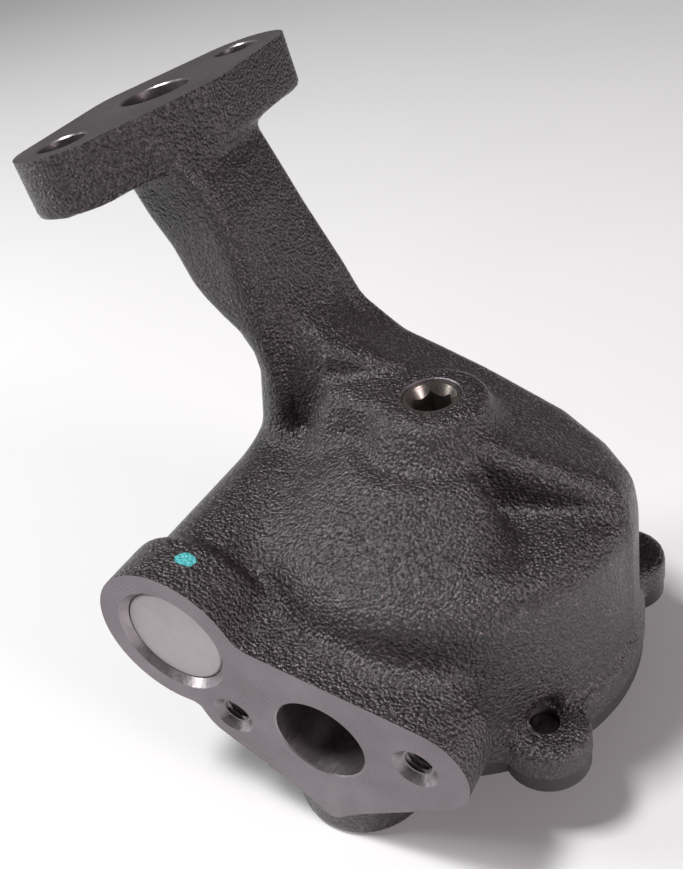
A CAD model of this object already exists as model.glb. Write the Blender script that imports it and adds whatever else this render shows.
"""Engine oil pump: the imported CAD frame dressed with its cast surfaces, machined faces and finishes."""

import bmesh
import bpy
import numpy as np
from math import cos, pi, radians, sin
from mathutils import Matrix, Vector


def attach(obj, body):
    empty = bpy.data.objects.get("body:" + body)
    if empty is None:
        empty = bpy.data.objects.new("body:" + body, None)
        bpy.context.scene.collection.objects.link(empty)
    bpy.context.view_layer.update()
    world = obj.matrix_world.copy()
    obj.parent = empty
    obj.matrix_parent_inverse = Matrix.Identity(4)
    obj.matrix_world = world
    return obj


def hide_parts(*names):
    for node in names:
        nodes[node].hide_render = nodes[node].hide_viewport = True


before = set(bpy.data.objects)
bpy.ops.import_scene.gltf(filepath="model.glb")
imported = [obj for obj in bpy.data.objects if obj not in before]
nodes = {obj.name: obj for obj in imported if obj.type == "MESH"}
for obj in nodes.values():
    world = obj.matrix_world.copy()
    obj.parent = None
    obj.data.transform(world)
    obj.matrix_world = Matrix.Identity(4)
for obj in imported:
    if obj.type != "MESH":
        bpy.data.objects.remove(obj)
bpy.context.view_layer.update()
MM = 0.001

# Camera: pose and lens, solved from circles of known size
camera_data = bpy.data.cameras.new("camera")
camera = bpy.data.objects.new("camera", camera_data)
bpy.context.scene.collection.objects.link(camera)
right = Vector((0.8604, 0.4805, -0.1697))
up = Vector((-0.1566, 0.5662, 0.8093))
back = right.cross(up)
turn = Matrix((right, up, back)).transposed().to_4x4()
camera.matrix_world = Matrix.Translation(Vector((90.7, -159.1, 118.7)) * MM) @ turn
camera_data.sensor_fit = "HORIZONTAL"
camera_data.sensor_width = 36.0
camera_data.lens = 55.34
camera_data.dof.use_dof = False
camera_data.clip_start = 0.01
bpy.context.scene.camera = camera

# ---------------------------------------------------------------- casting as a distance field

CELL = 1.0
FIELD_LOW = np.array([-86.0, -60.0, -84.0])
FIELD_HIGH = np.array([47.0, 54.0, 76.0])
DRUM_Y = -2.8
DRUM_RADIUS = 41.2
BURIED_Z = -60
JOINT_Z = -61.5
PICKUP_Y = -55.1
RELIEF = (-38.25, -32.0)
FLANGE_CENTRE = np.array([-62.7, 12.1, 59.0])
FLANGE_TURN, FLANGE_TILT = radians(84.4), radians(9.3)
EAR_ANGLES = (-40.0, 40.0, 140.0, 220.0)
EAR_CIRCLE = 41.7
EARS = [(EAR_CIRCLE * cos(radians(a)), EAR_CIRCLE * sin(radians(a)) + DRUM_Y) for a in EAR_ANGLES]

counts = ((FIELD_HIGH - FIELD_LOW) / CELL).astype(int) + 1
X, Y, Z = np.meshgrid(
    *[(FIELD_LOW[i] + CELL * np.arange(counts[i])).astype(np.float32) for i in range(3)],
    indexing="ij",
    sparse=True,
)


def disc(u, v, centre_u, centre_v, radius):
    return np.hypot(u - centre_u, v - centre_v) - radius


def join(a, b, k):
    """Union of two fields with a fillet about 0.6 k in radius."""
    h = np.maximum(k - np.abs(a - b), 0) / k
    return np.minimum(a, b) - h * h * k * 0.25


def common(a, b, k):
    """Intersection of two fields with its edge rounded in the same way."""
    return -join(-a, -b, k)


def prism(outline, along, low, high, edge):
    """An outline's field extruded from low to high, with round edges."""
    a = outline + edge
    b = np.abs(along - (low + high) / 2) - (high - low) / 2 + edge
    return np.minimum(np.maximum(a, b), 0) + np.hypot(np.maximum(a, 0), np.maximum(b, 0)) - edge


def tapered(u, v, r1, r2, length):
    """Hull of a disc r1 at u=0 and a disc r2 at u=length."""
    v = np.abs(v)
    b = (r1 - r2) / length
    a = (1 - b * b) ** 0.5
    k = -b * v + a * u
    side = a * v + b * u - r1
    field = np.where(k < 0, np.hypot(u, v) - r1, side)
    return np.where(k > a * length, np.hypot(u - length, v) - r2, field)


def polygon(u, v, points):
    """Signed distance to a closed polygon of (u, v) points."""
    nearest = np.full(np.broadcast(u, v).shape, 1e9, np.float32)
    inside = np.zeros(nearest.shape, bool)
    for (au, av), (bu, bv) in zip(points, points[1:] + points[:1]):
        eu, ev = bu - au, bv - av
        t = np.clip(((u - au) * eu + (v - av) * ev) / (eu * eu + ev * ev), 0, 1)
        nearest = np.minimum(nearest, np.hypot(u - au - t * eu, v - av - t * ev))
        if ev != 0:
            crosses = (av > v) != (bv > v)
            inside ^= crosses & (u < au + (v - av) * eu / ev)
    return np.where(inside, -nearest, nearest)


def hull(discs):
    """Outline points of the convex hull of discs given as (u, v, radius)."""
    points = sorted({
        (round(u + r * cos(2 * pi * i / 48), 4), round(v + r * sin(2 * pi * i / 48), 4))
        for u, v, r in discs for i in range(48)
    })
    def half(run):
        chain = []
        for p in run:
            while len(chain) > 1 and (
                (chain[-1][0] - chain[-2][0]) * (p[1] - chain[-2][1])
                - (chain[-1][1] - chain[-2][1]) * (p[0] - chain[-2][0])
            ) <= 0:
                chain.pop()
            chain.append(p)
        return chain[:-1]
    return half(points) + half(points[::-1])


def table(along, rows):
    """Piecewise-linear value along an axis, from (position, value) rows in rising order."""
    at, value = zip(*rows)
    return np.interp(along, at, value).astype(np.float32)


# drum, rim and bolt ears; lumps that stand on the drum stop at BURIED_Z, inside it
drum_distance = np.hypot(X, Y - DRUM_Y)
drum = prism(drum_distance - DRUM_RADIUS, Z, -64, -20.5, table(Y, [(-10, 7), (18, 11)]))
rim = prism(drum_distance - 42.8, Z, -64, -55, 1.5)
body = join(drum, rim, 3.0)
for ear_x, ear_y in EARS:
    reach = np.hypot(ear_x, ear_y - DRUM_Y)
    cu, cv = ear_x / reach, (ear_y - DRUM_Y) / reach
    u = X * cu + (Y - DRUM_Y) * cv - 0.8 * reach
    v = -X * cv + (Y - DRUM_Y) * cu
    ear = prism(tapered(u, v, 9.4, 9.4, 0.2 * reach), Z, -64, -55, 1.8)
    body = join(body, ear, 2.5)
    # a small scallop in the wall over the tapped hole
    hollow = np.hypot(np.hypot(X - ear_x, Y - ear_y), np.maximum(Z + 53.6, 0)) - 4.2
    hollow = np.maximum(hollow, -54.8 - Z)
    body = common(body, -hollow, 1.5)

# sloping crown over the inlet side
crown_top = table(drum_distance, [(0, -9), (18, -9.2), (34, -17.6), (40, -21.5), (60, -34)])
crown = (Z - crown_top) * 0.88
crown = common(crown, drum_distance - DRUM_RADIUS, 7.0)
lip = table(drum_distance, [(16, 3), (22, 6), (31, 18)])
crown = common(crown, X * 0.485 + (Y - DRUM_Y) * 0.875, lip)
crown = np.maximum(crown, BURIED_Z - Z)
body = join(body, crown, 3.0)

# ridge over the outlet passage
ridge_plan = polygon(X, Y, [
    (-46, 8), (-33, 7), (-25, 0), (-9, 7), (8, -9), (17, -7.5), (46, 0.5),
    (40, 11), (31, 20), (20, 25.5), (0, 27.5), (-46, 27.5),
])
ridge_top = (Z + table(X, [(-20, 0.9), (5, 1.0), (30, 1.5)]) + 0.379 * X + 0.28 * Y) / 1.105
ridge_side = np.maximum(ridge_plan, drum_distance - DRUM_RADIUS)
ridge = common(ridge_top, ridge_side, table(X, [(-10, 4.0), (25, 6)]))
ridge = np.maximum(ridge, BURIED_Z - Z)
body = join(body, ridge, 2.5)

# drive boss and the shelf that ties it to the arm
u, v = -(X * 0.9995 + Y * 0.03), Y * 0.9995 - X * 0.03
drive_boss = np.hypot(X, Y) - 12.2 - table(Z, [(-16, 2.0), (-8, 1.6), (-2, 0)])
boss_plan = join(drive_boss, tapered(u, v, 10.0, 5.0, 20.5), 2.0)
boss_plan = boss_plan - table(Z, [(-60, 4), (-16, 2.8), (-3, 0)])
boss = common(boss_plan, Z, 3.2)
boss = np.maximum(boss, BURIED_Z - Z)
body = join(body, boss, 1.9)
skirt = common((np.hypot(X + 22, Y + 1) - 3.5 + 0.5 * (Z + 2)) * 0.87, Z + 2.5, 4.0)
body = join(body, np.maximum(skirt, -Z - 40), 2.6)

# relief valve barrel and boss, pickup plate and its neck
barrel = prism(disc(X, Z, RELIEF[0], RELIEF[1], 15.3), Y, -50, 14, 5.0)
relief_boss = prism(disc(X, Z, RELIEF[0], RELIEF[1], 18.0), Y, -57.5, -41.6, 2.2)
plate_discs = [(16.15, -46.85, 11.3), (-27.35, -50.35, 8.3), (-22, -36.9, 9.5), (-7, -71.4, 2.2)]
plate_plan = polygon(X, Z, hull(plate_discs))
plate = prism(plate_plan, Y, -57.5, -42.1, 1.2)
neck_discs = [(8, -45.5, 10.8), (-27.35, -50.35, 7.8), (-22, -36.9, 9.3), (-7, -51.5, 9.5)]
neck_plan = polygon(X, Z, hull(neck_discs))
neck = prism(neck_plan, Y, -50, 0, 2.0)
pickup_block = join(join(barrel, relief_boss, 3.0), join(plate, neck, 2.5), 3.0)
body = join(body, pickup_block, 6.0)
foot = prism(disc(X, Y, -8.0, -39.7, 15.2), Z, -80.8, -50, 2.0)
foot = np.maximum(foot, Y + 40.0)
body = join(body, foot, 2.0)

# outlet arm: a tapering bar whose inner face bulges, and its tilted flange
left = table(Z, [(-36, -48), (-17, -46.8), (-10.4, -45.3), (-4, -44), (1, -43), (6, -43.6), (11, -46.1),
                 (15, -49.4), (19, -52.2), (23, -54.2), (31, -57), (38, -61), (44, -63.5), (52, -67.5),
                 (60, -72)])
front = table(Z, [(-22, -36), (-12, -34.8), (0, -34.2), (13, -35.5), (22, -37), (30, -38), (37, -39),
                  (44, -42), (50, -46), (60, -52)])
rear = table(Z, [(-22, -17), (-3, -22.5), (15, -31.2), (30, -39.3), (46, -47), (60, -54)])
share = np.clip((Y + 4) / 31, 0, 1)
bulge = table(Z, [(-24, -6), (2, -5), (16, 4), (60, 5)])
inner_face = front + (rear - front) * share + bulge * share * (1 - share)
flare = table(Z, [(-3, 19), (0, 16), (4, 11), (8, 6), (12, 2.5), (17, 0)])
inner_face = inner_face + flare * table(Y, [(-2, 0), (4, 0.9), (8, 1), (12, 0.8), (20, 0)])
roundness = table(Z, [(12, 8), (22, 5)])
arm = common((left - X) * 0.88, -4.2 - 0.048 * roundness - Y, roundness)
arm = common(arm, (X - inner_face) * 0.88, 4.0)
arm = common(arm, Y - 27.0, 5.0)
arm = np.maximum(arm, np.maximum(-40 - Z, Z - 62))
body = join(body, arm, 5.0)
flange_turn = Matrix.Rotation(-FLANGE_TILT, 3, "Y") @ Matrix.Rotation(FLANGE_TURN, 3, "Z")
FLANGE_U, FLANGE_V, FLANGE_N = [np.array(flange_turn.col[i]) for i in range(3)]
fx, fy, fz = X - FLANGE_CENTRE[0], Y - FLANGE_CENTRE[1], Z - FLANGE_CENTRE[2]
u = fx * FLANGE_U[0] + fy * FLANGE_U[1] + fz * FLANGE_U[2] - 0.9
v = fx * FLANGE_V[0] + fy * FLANGE_V[1] + fz * FLANGE_V[2]
w = fx * FLANGE_N[0] + fy * FLANGE_N[1] + fz * FLANGE_N[2]
flange_plan = tapered(np.abs(u), v, 17.6, 10.9, 27.45)
flange = prism(flange_plan, w, -12.3, 2.5, 1.2)
body = join(body, flange, 3.0)


def surface(field, low, cell):
    """Naive surface nets: one vertex in each cell that the zero level crosses, at the mean of its crossings,
    and one quad for each grid edge that is crossed."""
    inside = field < 0
    shape = np.array(field.shape)
    total = np.zeros((field.size, 3), np.float64)
    number = np.zeros(field.size, np.int64)
    quads = []
    stride = np.array([shape[1] * shape[2], shape[2], 1])
    for axis in range(3):
        first = [slice(None)] * 3
        second = [slice(None)] * 3
        first[axis], second[axis] = slice(0, -1), slice(1, None)
        a, b = field[tuple(first)], field[tuple(second)]
        cross = np.argwhere(inside[tuple(first)] != inside[tuple(second)])
        other = [i for i in range(3) if i != axis]
        cross = cross[np.all(cross[:, other] > 0, axis=1)]
        fa = a[tuple(cross.T)].astype(np.float64)
        fb = b[tuple(cross.T)].astype(np.float64)
        point = cross.astype(np.float64)
        point[:, axis] += fa / (fa - fb)
        corner = cross @ stride
        su, sv = stride[other[0]], stride[other[1]]
        ring = [corner, corner - su, corner - su - sv, corner - sv]
        for cells in ring:
            for i in range(3):
                total[:, i] += np.bincount(cells, point[:, i], field.size)
            number += np.bincount(cells, minlength=field.size)
        flip = (fa < 0) != (axis == 1)
        quad = np.stack(ring, axis=1)
        quad[~flip] = quad[~flip][:, ::-1]
        quads.append(quad)
    used = np.flatnonzero(number)
    index = np.full(field.size, -1, np.int64)
    index[used] = np.arange(len(used))
    points = total[used] / number[used][:, None] * cell + low
    return points, index[np.concatenate(quads)]


def mesh_object(name, points, faces):
    mesh = bpy.data.meshes.new(name)
    mesh.from_pydata(points.tolist(), [], faces.tolist() if hasattr(faces, "tolist") else faces)
    mesh.update()
    piece = bpy.data.objects.new(name, mesh)
    bpy.context.scene.collection.objects.link(piece)
    return piece


points, faces = surface(body, FIELD_LOW, CELL)
casting = mesh_object("casting", points * MM, faces)

# ---------------------------------------------------------------- machined cuts


def lathe(profile, origin, direction, segments=96, wobble=None):
    """Closed solid of revolution. The profile is (radius, distance) pairs from axis to axis, and distance
    runs from origin along direction. wobble(radius, distance, angle) changes a radius, for screw threads."""
    axis = Vector(direction).normalized()
    side = axis.orthogonal().normalized()
    other = axis.cross(side)
    radius, distance = np.array(profile[1:-1], float).T
    angle = np.arange(segments) * 2 * pi / segments
    rr, aa = np.meshgrid(radius, angle, indexing="ij")
    dd = np.meshgrid(distance, angle, indexing="ij")[0]
    if wobble is not None:
        rr = wobble(rr, dd, aa)
    side, other, axis = np.array(side), np.array(other), np.array(axis)
    points = np.array(origin) + dd[..., None] * axis
    points = points + rr[..., None] * (np.cos(aa)[..., None] * side + np.sin(aa)[..., None] * other)
    ends = [np.array(origin) + profile[0][1] * axis, np.array(origin) + profile[-1][1] * axis]
    rows, count = len(radius), rr.size
    index = np.arange(count).reshape(rows, segments)
    a, b = index[:-1], index[1:]
    quads = np.stack([a, np.roll(a, -1, 1), np.roll(b, -1, 1), b], -1).reshape(-1, 4)
    faces = quads.tolist()
    faces += [[count, *pair[::-1]] for pair in zip(index[0].tolist(), np.roll(index[0], -1).tolist())]
    faces += [[count + 1, *pair] for pair in zip(index[-1].tolist(), np.roll(index[-1], -1).tolist())]
    return np.concatenate([points.reshape(-1, 3), ends]), faces


def block(low, high, centre=(0, 0, 0), axes=np.eye(3)):
    """Box between two corners, given along the rows of axes from centre."""
    corners = np.array([[(low, high)[k >> i & 1][i] for i in range(3)] for k in range(8)], float)
    faces = [[0, 2, 3, 1], [4, 5, 7, 6], [0, 1, 5, 4], [2, 6, 7, 3], [0, 4, 6, 2], [1, 3, 7, 5]]
    return np.array(centre) + corners @ np.array(axes), faces


def thread(radius, distance, angle):
    """Triangular thread of 1.41 mm pitch, fading in at the mouth."""
    phase = distance / 1.41 - angle / (2 * pi)
    ridge = np.abs(2 * (phase - np.floor(phase)) - 1)
    return np.where((distance > 1.6) & (distance < 14.9), radius + 0.75 * ridge, radius)


def hole(radius, depth, origin, direction, chamfer=0.3):
    """Flat-ended hole with a small chamfer; origin is on the face and direction points inwards."""
    wide = radius + chamfer
    profile = [(0, -3), (wide, -3), (wide, 0), (radius, chamfer), (radius, depth), (0, depth)]
    return lathe(profile, origin, direction)


def passage(radius, start, end):
    """Straight round passage between two points."""
    run = Vector(end) - Vector(start)
    return lathe([(0, 0), (radius, 0), (radius, run.length), (0, run.length)], start, run, 48)


inward = -FLANGE_N
flange_axes = np.array([FLANGE_U, FLANGE_V, FLANGE_N])
bolt_places = [FLANGE_CENTRE + s * 27.45 * FLANGE_U for s in (-1, 1)]
relief_face = (RELIEF[0], PICKUP_Y, RELIEF[1])
stud_profile = [(0, -2), (4.9, -2), (4.9, 0), (3.35, 1.55)]
stud_profile += [(2.95, 1.6 + 0.1175 * i) for i in range(115)]
stud_profile += [(0, 15.1)]
relief_profile = [(0, -2), (13.2, -2), (13.2, 0), (11.8, 1.61), (11.8, 8.6), (8.05, 8.61)]
relief_profile += [(8.05, 65.1), (0, 65.1)]
ear_profile = [(0, -1), (3.18, -1), (3.18, 8.5), (0, 8.5)]
knee = (-36.0, 12.0, 5.0)
gallery = (-20.85, 9.72, -29.0)
cuts = [
    ("milled", block((-45, -30, 0), (45, 30, 12), FLANGE_CENTRE, flange_axes)),
    ("milled", block((-70, -75, -90), (45, PICKUP_Y, -8))),
    ("cast", lathe([(0, 0), (10.0, 0), (12.5, 6), (0, 6)], (0, 0, 0), (0, 0, 1))),
    ("milled", block((-60, -41.3, -95), (60, 60, JOINT_Z))),
    ("milled", block((16, -60, -95), (60, 0, JOINT_Z))),
    ("milled", block((-60, -60, -95), (-27, 0, JOINT_Z))),
    ("bored", hole(7.7, 10, FLANGE_CENTRE, inward)),
    ("cored", passage(5.0, (-58.5, 12.1, 50.5), knee)),
    ("cored", passage(4.5, knee, gallery)),
    ("bored", hole(5.1, 16, bolt_places[0], inward)),
    ("bored", hole(5.1, 16, bolt_places[1], inward)),
    ("bored", lathe([(0, -2), (10.5, -2), (10.5, 0), (10.2, 0.3), (10.2, 15), (5, 19), (0, 19)],
                    (-5.6, PICKUP_Y, -48.6), (0, 1, 0), 128)),
    ("cored", passage(5.0, (-5.6, -44, -43), (-17, -14, -34.5))),
    ("bored", lathe(stud_profile, (-27.35, PICKUP_Y, -50.35), (0, 1, 0), 56, thread)),
    ("bored", lathe(stud_profile, (16.15, PICKUP_Y, -46.85), (0, 1, 0), 56, thread)),
    ("bored", lathe(relief_profile, relief_face, (0, 1, 0), 128)),
    ("bored", lathe([(0, -1), (6.6, -1), (6.6, 0), (6.4, 0.2), (6.4, 63), (0, 63)], (0, 0, 0), (0, 0, -1))),
    ("bored", lathe([(0, -1), (30.08, -1), (30.08, 19.1), (0, 19.1)], (0, DRUM_Y, JOINT_Z), (0, 0, 1), 160)),
]
cuts += [("bored", lathe(ear_profile, (x, y, JOINT_Z), (0, 0, 1), 48)) for x, y in EARS]


# ---------------------------------------------------------------- materials


def colour(code):
    """Linear RGBA from an sRGB hex code."""
    parts = [int(code[i:i + 2], 16) / 255 for i in (1, 3, 5)]
    return (*[p / 12.92 if p <= 0.04045 else ((p + 0.055) / 1.055) ** 2.4 for p in parts], 1)


NOISE = "ShaderNodeTexNoise"
CELLS = "ShaderNodeTexVoronoi"
RANGE = "ShaderNodeMapRange"
MATHS = "ShaderNodeMath"
VECTOR = "ShaderNodeVectorMath"
MIX = "ShaderNodeMix"
STRETCH = "ShaderNodeMapping"
BUMP = "ShaderNodeBump"


def add(tree, kind, result=0, **values):
    """New shader node; gives back its output numbered or named by result. Lower-case names are the node's
    settings, and the others are its sockets, each given a value or a link."""
    node = tree.nodes.new(kind)
    for name, value in values.items():
        if name[0].islower():
            setattr(node, name, value)
            continue
        spaced = name.replace("_", " ")
        socket = next(s for s in node.inputs if name == s.identifier or spaced == s.name)
        if isinstance(value, bpy.types.NodeSocket):
            tree.links.new(value, socket)
        else:
            socket.default_value = value
    return node.outputs[result]


def start(name, **shader):
    """New material with its shader's uniform values set, its tree, its shader and its coordinates."""
    made = bpy.data.materials.new(name)
    made.use_nodes = True
    tree = made.node_tree
    principled = tree.nodes["Principled BSDF"]
    for socket, value in shader.items():
        principled.inputs[socket.replace("_", " ")].default_value = value
    place = add(tree, "ShaderNodeTexCoord", "Object")
    return made, tree, principled, place


def sand_cast():
    """Oiled sand-cast iron: dark, pebbled by the sand at about 0.7 mm, with small bright grains."""
    made, tree, principled, place = start("sand_cast_iron", Metallic=0.0, Specular_IOR_Level=0.75)
    # the mould's sand, drawn a little coarser than it is so that it shows
    pebbles = add(tree, CELLS, feature="F1", Vector=place, Scale=1350)
    grain = add(tree, NOISE, Vector=place, Scale=1500, Detail=4, Roughness=0.7)
    lumps = add(tree, NOISE, Vector=place, Scale=420, Detail=3, Roughness=0.6)
    patch = add(tree, NOISE, Vector=place, Scale=38, Detail=3, Roughness=0.5)
    patch = add(tree, RANGE, Value=patch, From_Min=0.35, From_Max=0.65)
    shade = add(tree, MIX, 2, data_type="RGBA", Factor_Float=patch, A_Color=colour("#1f191c"),
                B_Color=colour("#292124"))
    speck = add(tree, RANGE, Value=grain, From_Min=0.54, From_Max=0.62)
    shade = add(tree, MIX, 2, data_type="RGBA", Factor_Float=speck, A_Color=shade, B_Color=colour("#665a5f"))
    # a dab of turquoise inspection paint on the relief valve boss, with a ragged edge
    away = add(tree, VECTOR, operation="SUBTRACT", Vector=place, Vector_001=(-0.0345, -0.0475, -0.0145))
    away = add(tree, VECTOR, operation="MULTIPLY", Vector=away, Vector_001=(0.85, 1.1, 0.6))
    reach = add(tree, VECTOR, "Value", operation="LENGTH", Vector=away)
    ragged = add(tree, NOISE, Vector=place, Scale=420, Detail=2, Roughness=0.55)
    ragged = add(tree, RANGE, Value=ragged, From_Min=0.3, From_Max=0.7, To_Min=-0.0005, To_Max=0.0005)
    ragged = add(tree, MATHS, operation="ADD", Value=reach, Value_001=ragged)
    paint = add(tree, RANGE, Value=ragged, From_Min=0.00195, From_Max=0.00175)
    shade = add(tree, MIX, 2, data_type="RGBA", Factor_Float=paint, A_Color=shade, B_Color=colour("#4fbcc0"))
    tree.links.new(shade, principled.inputs["Base Color"])
    dull = add(tree, RANGE, Value=grain, From_Min=0.35, From_Max=0.7, To_Min=0.4, To_Max=0.2)
    duller = add(tree, MATHS, operation="MULTIPLY", Value=paint, Value_001=0.1)
    dull = add(tree, MATHS, operation="ADD", Value=dull, Value_001=duller)
    tree.links.new(dull, principled.inputs["Roughness"])
    height = add(tree, MATHS, operation="MULTIPLY", Value=grain, Value_001=0.6)
    height = add(tree, MATHS, operation="ADD", Value=lumps, Value_001=height)
    height = add(tree, MATHS, operation="SUBTRACT", Value=height, Value_001=pebbles)
    relief = add(tree, BUMP, Height=height, Distance=0.00035, Strength=1.0)
    tree.links.new(relief, principled.inputs["Normal"])
    return made


def milled():
    """Face-milled cast iron: fine broken arcs left by a wide cutter, under a faint clouding."""
    made, tree, principled, place = start("milled_iron", Metallic=0.75, Specular_IOR_Level=0.5)
    moved = add(tree, VECTOR, operation="ADD", Vector=place, Vector_001=(0.075, 0.0, -0.02))
    arcs = add(tree, "ShaderNodeTexWave", "Fac", wave_type="RINGS", rings_direction="SPHERICAL",
               Vector=moved, Scale=620, Distortion=9.0, Detail=3, Detail_Scale=0.5, Detail_Roughness=0.6)
    fine = add(tree, STRETCH, Vector=place, Scale=(2600, 900, 500), Rotation=(0.2, 0.5, 0.3))
    fine = add(tree, NOISE, Vector=fine, Scale=1.0, Detail=3, Roughness=0.6)
    cloud = add(tree, NOISE, Vector=place, Scale=55, Detail=4, Roughness=0.6)
    cloud = add(tree, RANGE, Value=cloud, From_Min=0.3, From_Max=0.7)
    tone = add(tree, MIX, 2, data_type="RGBA", Factor_Float=cloud, A_Color=colour("#6e676b"),
               B_Color=colour("#857d81"))
    glint = add(tree, MATHS, operation="MULTIPLY", Value=arcs, Value_001=fine)
    glint = add(tree, RANGE, Value=glint, From_Min=0.2, From_Max=0.62, To_Min=0.0, To_Max=0.16)
    tone = add(tree, MIX, 2, data_type="RGBA", Factor_Float=glint, A_Color=tone, B_Color=colour("#b9b1b5"))
    tree.links.new(tone, principled.inputs["Base Color"])
    dull = add(tree, RANGE, Value=fine, From_Min=0.3, From_Max=0.7, To_Min=0.3, To_Max=0.46)
    tree.links.new(dull, principled.inputs["Roughness"])
    height = add(tree, MATHS, operation="MULTIPLY", Value=arcs, Value_001=0.3)
    height = add(tree, MATHS, operation="ADD", Value=height, Value_001=fine)
    relief = add(tree, BUMP, Height=height, Distance=0.00004, Strength=1.0)
    tree.links.new(relief, principled.inputs["Normal"])
    return made


def turned(name, pale, deep, roughness, metallic=0.9, pitch=2600, depth=0.00002):
    """Turned or ground steel: fine lines round the axis, with slight clouding."""
    made, tree, principled, place = start(name, Metallic=metallic)
    lines = add(tree, STRETCH, Vector=place, Scale=(pitch, pitch * 0.25, pitch), Rotation=(0, 0, 0))
    lines = add(tree, NOISE, Vector=lines, Scale=1.0, Detail=2, Roughness=0.6)
    cloud = add(tree, NOISE, Vector=place, Scale=140, Detail=4, Roughness=0.6)
    cloud = add(tree, RANGE, Value=cloud, From_Min=0.3, From_Max=0.7)
    tone = add(tree, MIX, 2, data_type="RGBA", Factor_Float=cloud, A_Color=colour(deep),
               B_Color=colour(pale))
    tree.links.new(tone, principled.inputs["Base Color"])
    dull = add(tree, RANGE, Value=lines, From_Min=0.3, From_Max=0.7, To_Min=roughness - 0.07,
               To_Max=roughness + 0.09)
    tree.links.new(dull, principled.inputs["Roughness"])
    relief = add(tree, BUMP, Height=lines, Distance=depth, Strength=1.0)
    tree.links.new(relief, principled.inputs["Normal"])
    return made


def pitted(name, pale, deep, roughness, metallic, pits, depth):
    """Pressed or sintered metal: a matt face with small dark pits."""
    made, tree, principled, place = start(name, Metallic=metallic)
    pores = add(tree, CELLS, feature="F1", Vector=place, Scale=pits)
    pores = add(tree, RANGE, Value=pores, From_Min=0.06, From_Max=0.16)
    cloud = add(tree, NOISE, Vector=place, Scale=110, Detail=4, Roughness=0.6)
    mottle = add(tree, RANGE, Value=cloud, From_Min=0.3, From_Max=0.7)
    tone = add(tree, MIX, 2, data_type="RGBA", Factor_Float=mottle, A_Color=colour(deep),
               B_Color=colour(pale))
    tone = add(tree, MIX, 2, data_type="RGBA", Factor_Float=pores, A_Color=colour(deep), B_Color=tone)
    tree.links.new(tone, principled.inputs["Base Color"])
    dull = add(tree, RANGE, Value=cloud, From_Min=0.3, From_Max=0.7, To_Min=roughness - 0.06,
               To_Max=roughness + 0.06)
    tree.links.new(dull, principled.inputs["Roughness"])
    relief = add(tree, BUMP, Height=pores, Distance=depth, Strength=1.0)
    tree.links.new(relief, principled.inputs["Normal"])
    return made


# finishes: cast and machined iron on the housing, plated or ground steel on the small parts
skins = {
    "cast": sand_cast(),
    "milled": milled(),
    "bored": turned("bored_iron", "#a59da1", "#7d7679", 0.34, 0.8, 1500, 0.00004),
    "cored": pitted("cored_iron", "#3f3a3c", "#2a2628", 0.6, 0.1, 900, 0.0002),
}
finishes = {
    "cover_plate": pitted("phosphated_cover_plate", "#3b373a", "#2c282b", 0.45, 0.3, 500, 0.00003),
    "rotor_shaft": turned("turned_shaft_steel", "#948c87", "#726b67", 0.32, 0.9, 2200, 0.00003),
    "relief_plug": pitted("satin_pressed_steel", "#c3bcbd", "#b0a9ab", 0.5, 0.6, 420, 0.00002),
    "relief_piston": turned("hardened_ground_steel", "#b4afb0", "#8f8a8c", 0.24),
    "relief_spring": turned("oil_tempered_spring_wire", "#6b645f", "#4a4441", 0.32, 0.85, 3000),
    "rotor_pin": turned("hardened_pin_steel", "#9f9a9b", "#7e797b", 0.28),
    "inner_rotor": pitted("sintered_inner_rotor", "#7f7a7a", "#5a5656", 0.5, 0.7, 1600, 0.00005),
    "outer_rotor": pitted("sintered_outer_rotor", "#77726f", "#54504e", 0.52, 0.7, 1600, 0.00005),
    "cover_bolt": turned("black_oxide_bolt_steel", "#5f5b59", "#474442", 0.3, 0.85, 1800),
    "lock_washer": turned("phosphated_washer_steel", "#5d5957", "#403d3b", 0.48, 0.7, 1800),
}

casting.data.materials.append(skins["cast"])
tools = []
for skin, (tool_points, tool_faces) in cuts:
    tool = mesh_object("tool", tool_points * MM, tool_faces)
    tool.data.materials.append(skins[skin])
    normals = bmesh.new()
    normals.from_mesh(tool.data)
    bmesh.ops.recalc_face_normals(normals, faces=normals.faces)
    normals.to_mesh(tool.data)
    normals.free()
    tools.append(tool)
    cut = casting.modifiers.new("cut", "BOOLEAN")
    cut.operation = "DIFFERENCE"
    cut.solver = "MANIFOLD"
    cut.material_mode = "TRANSFER"
    cut.object = tool
uncut = casting.data
casting.data = bpy.data.meshes.new_from_object(casting.evaluated_get(bpy.context.evaluated_depsgraph_get()))
casting.modifiers.clear()
bpy.data.meshes.remove(uncut)
for tool in tools:
    bpy.data.objects.remove(tool)
casting.data.shade_smooth()
casting.data.set_sharp_from_angle(angle=radians(32))
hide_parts("pump_body")
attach(casting, "housing")

for name, node in nodes.items():
    if name != "pump_body":
        node.data.materials.clear()
        node.data.materials.append(finishes[name.rstrip("_1234")])

# ---------------------------------------------------------------- floor, lamps and sky

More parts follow.
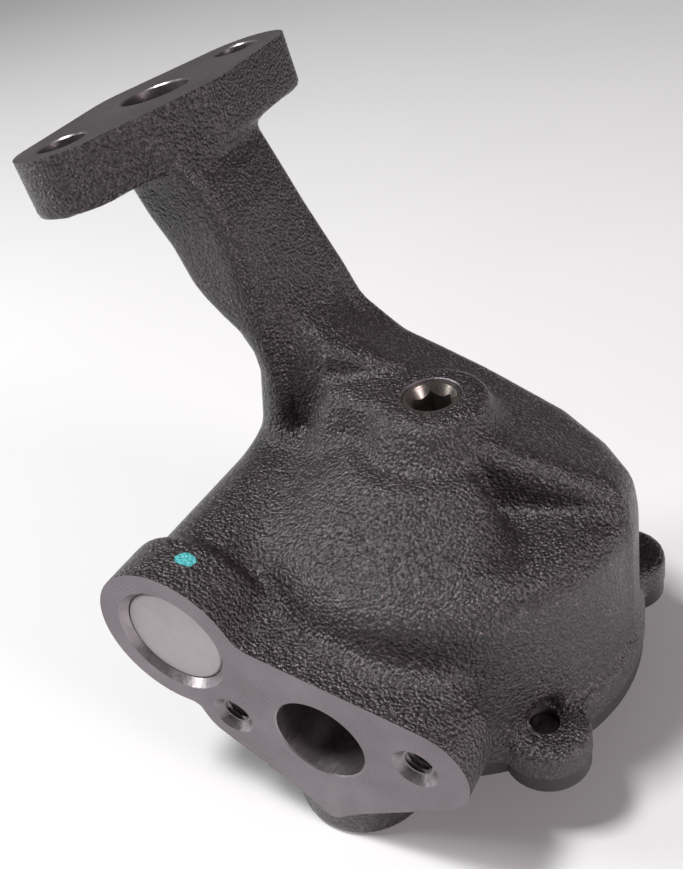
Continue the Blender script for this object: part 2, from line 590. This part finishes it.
FLOOR_Z = -80.8


def lamp(name, place, power, size, tint="#ffffff"):
    """Soft square lamp at a place in metres, aimed at the middle of the pump."""
    data = bpy.data.lights.new(name, "AREA")
    data.energy, data.size, data.color = power, size, colour(tint)[:3]
    made = bpy.data.objects.new(name, data)
    made.location = place
    aim = Vector((-0.02, -0.005, -0.02)) - made.location
    made.rotation_euler = aim.to_track_quat("-Z", "Y").to_euler()
    bpy.context.scene.collection.objects.link(made)


lamp("window_left", (-0.85, -0.42, 0.38), 4.5, 0.25)
lamp("window_right", (0.85, -0.12, 0.22), 4.0, 0.25, "#fff3f6")
lamp("ceiling", (-0.30, -0.24, 1.00), 9.0, 0.22)

floor = mesh_object("floor", np.array([(-4, -4, 0), (4, -4, 0), (4, 4, 0), (-4, 4, 0)], float)
                    + (0, 0, FLOOR_Z * MM), [(0, 1, 2, 3)])
floor_paint, tree, principled, place = start("pale_matt_floor", Roughness=0.9, Specular_IOR_Level=0.1)
cloud = add(tree, NOISE, Vector=place, Scale=9, Detail=3, Roughness=0.55)
pale = add(tree, MIX, 2, data_type="RGBA", Factor_Float=cloud, A_Color=colour("#f3f2f3"),
           B_Color=colour("#f9f8f9"))
# the camera, gloss and glass see it pale; what it throws back on the pump is darker
path = tree.nodes.new("ShaderNodeLightPath").outputs
seen = add(tree, MATHS, operation="MAXIMUM", Value=path["Is Glossy Ray"],
           Value_001=path["Is Transmission Ray"])
seen = add(tree, MATHS, operation="MAXIMUM", Value=path["Is Camera Ray"], Value_001=seen)
shown = add(tree, MIX, 2, data_type="RGBA", Factor_Float=seen, A_Color=colour("#8f8c8e"), B_Color=pale)
tree.links.new(shown, principled.inputs["Base Color"])
floor.data.materials.append(floor_paint)

sky = bpy.data.worlds.new("sky")
sky.use_nodes = True
sky.node_tree.nodes["Background"].inputs["Color"].default_value = colour("#f7f7fa")
sky.node_tree.nodes["Background"].inputs["Strength"].default_value = 0.11
bpy.context.scene.world = sky
bpy.context.scene.view_settings.view_transform = "Standard"
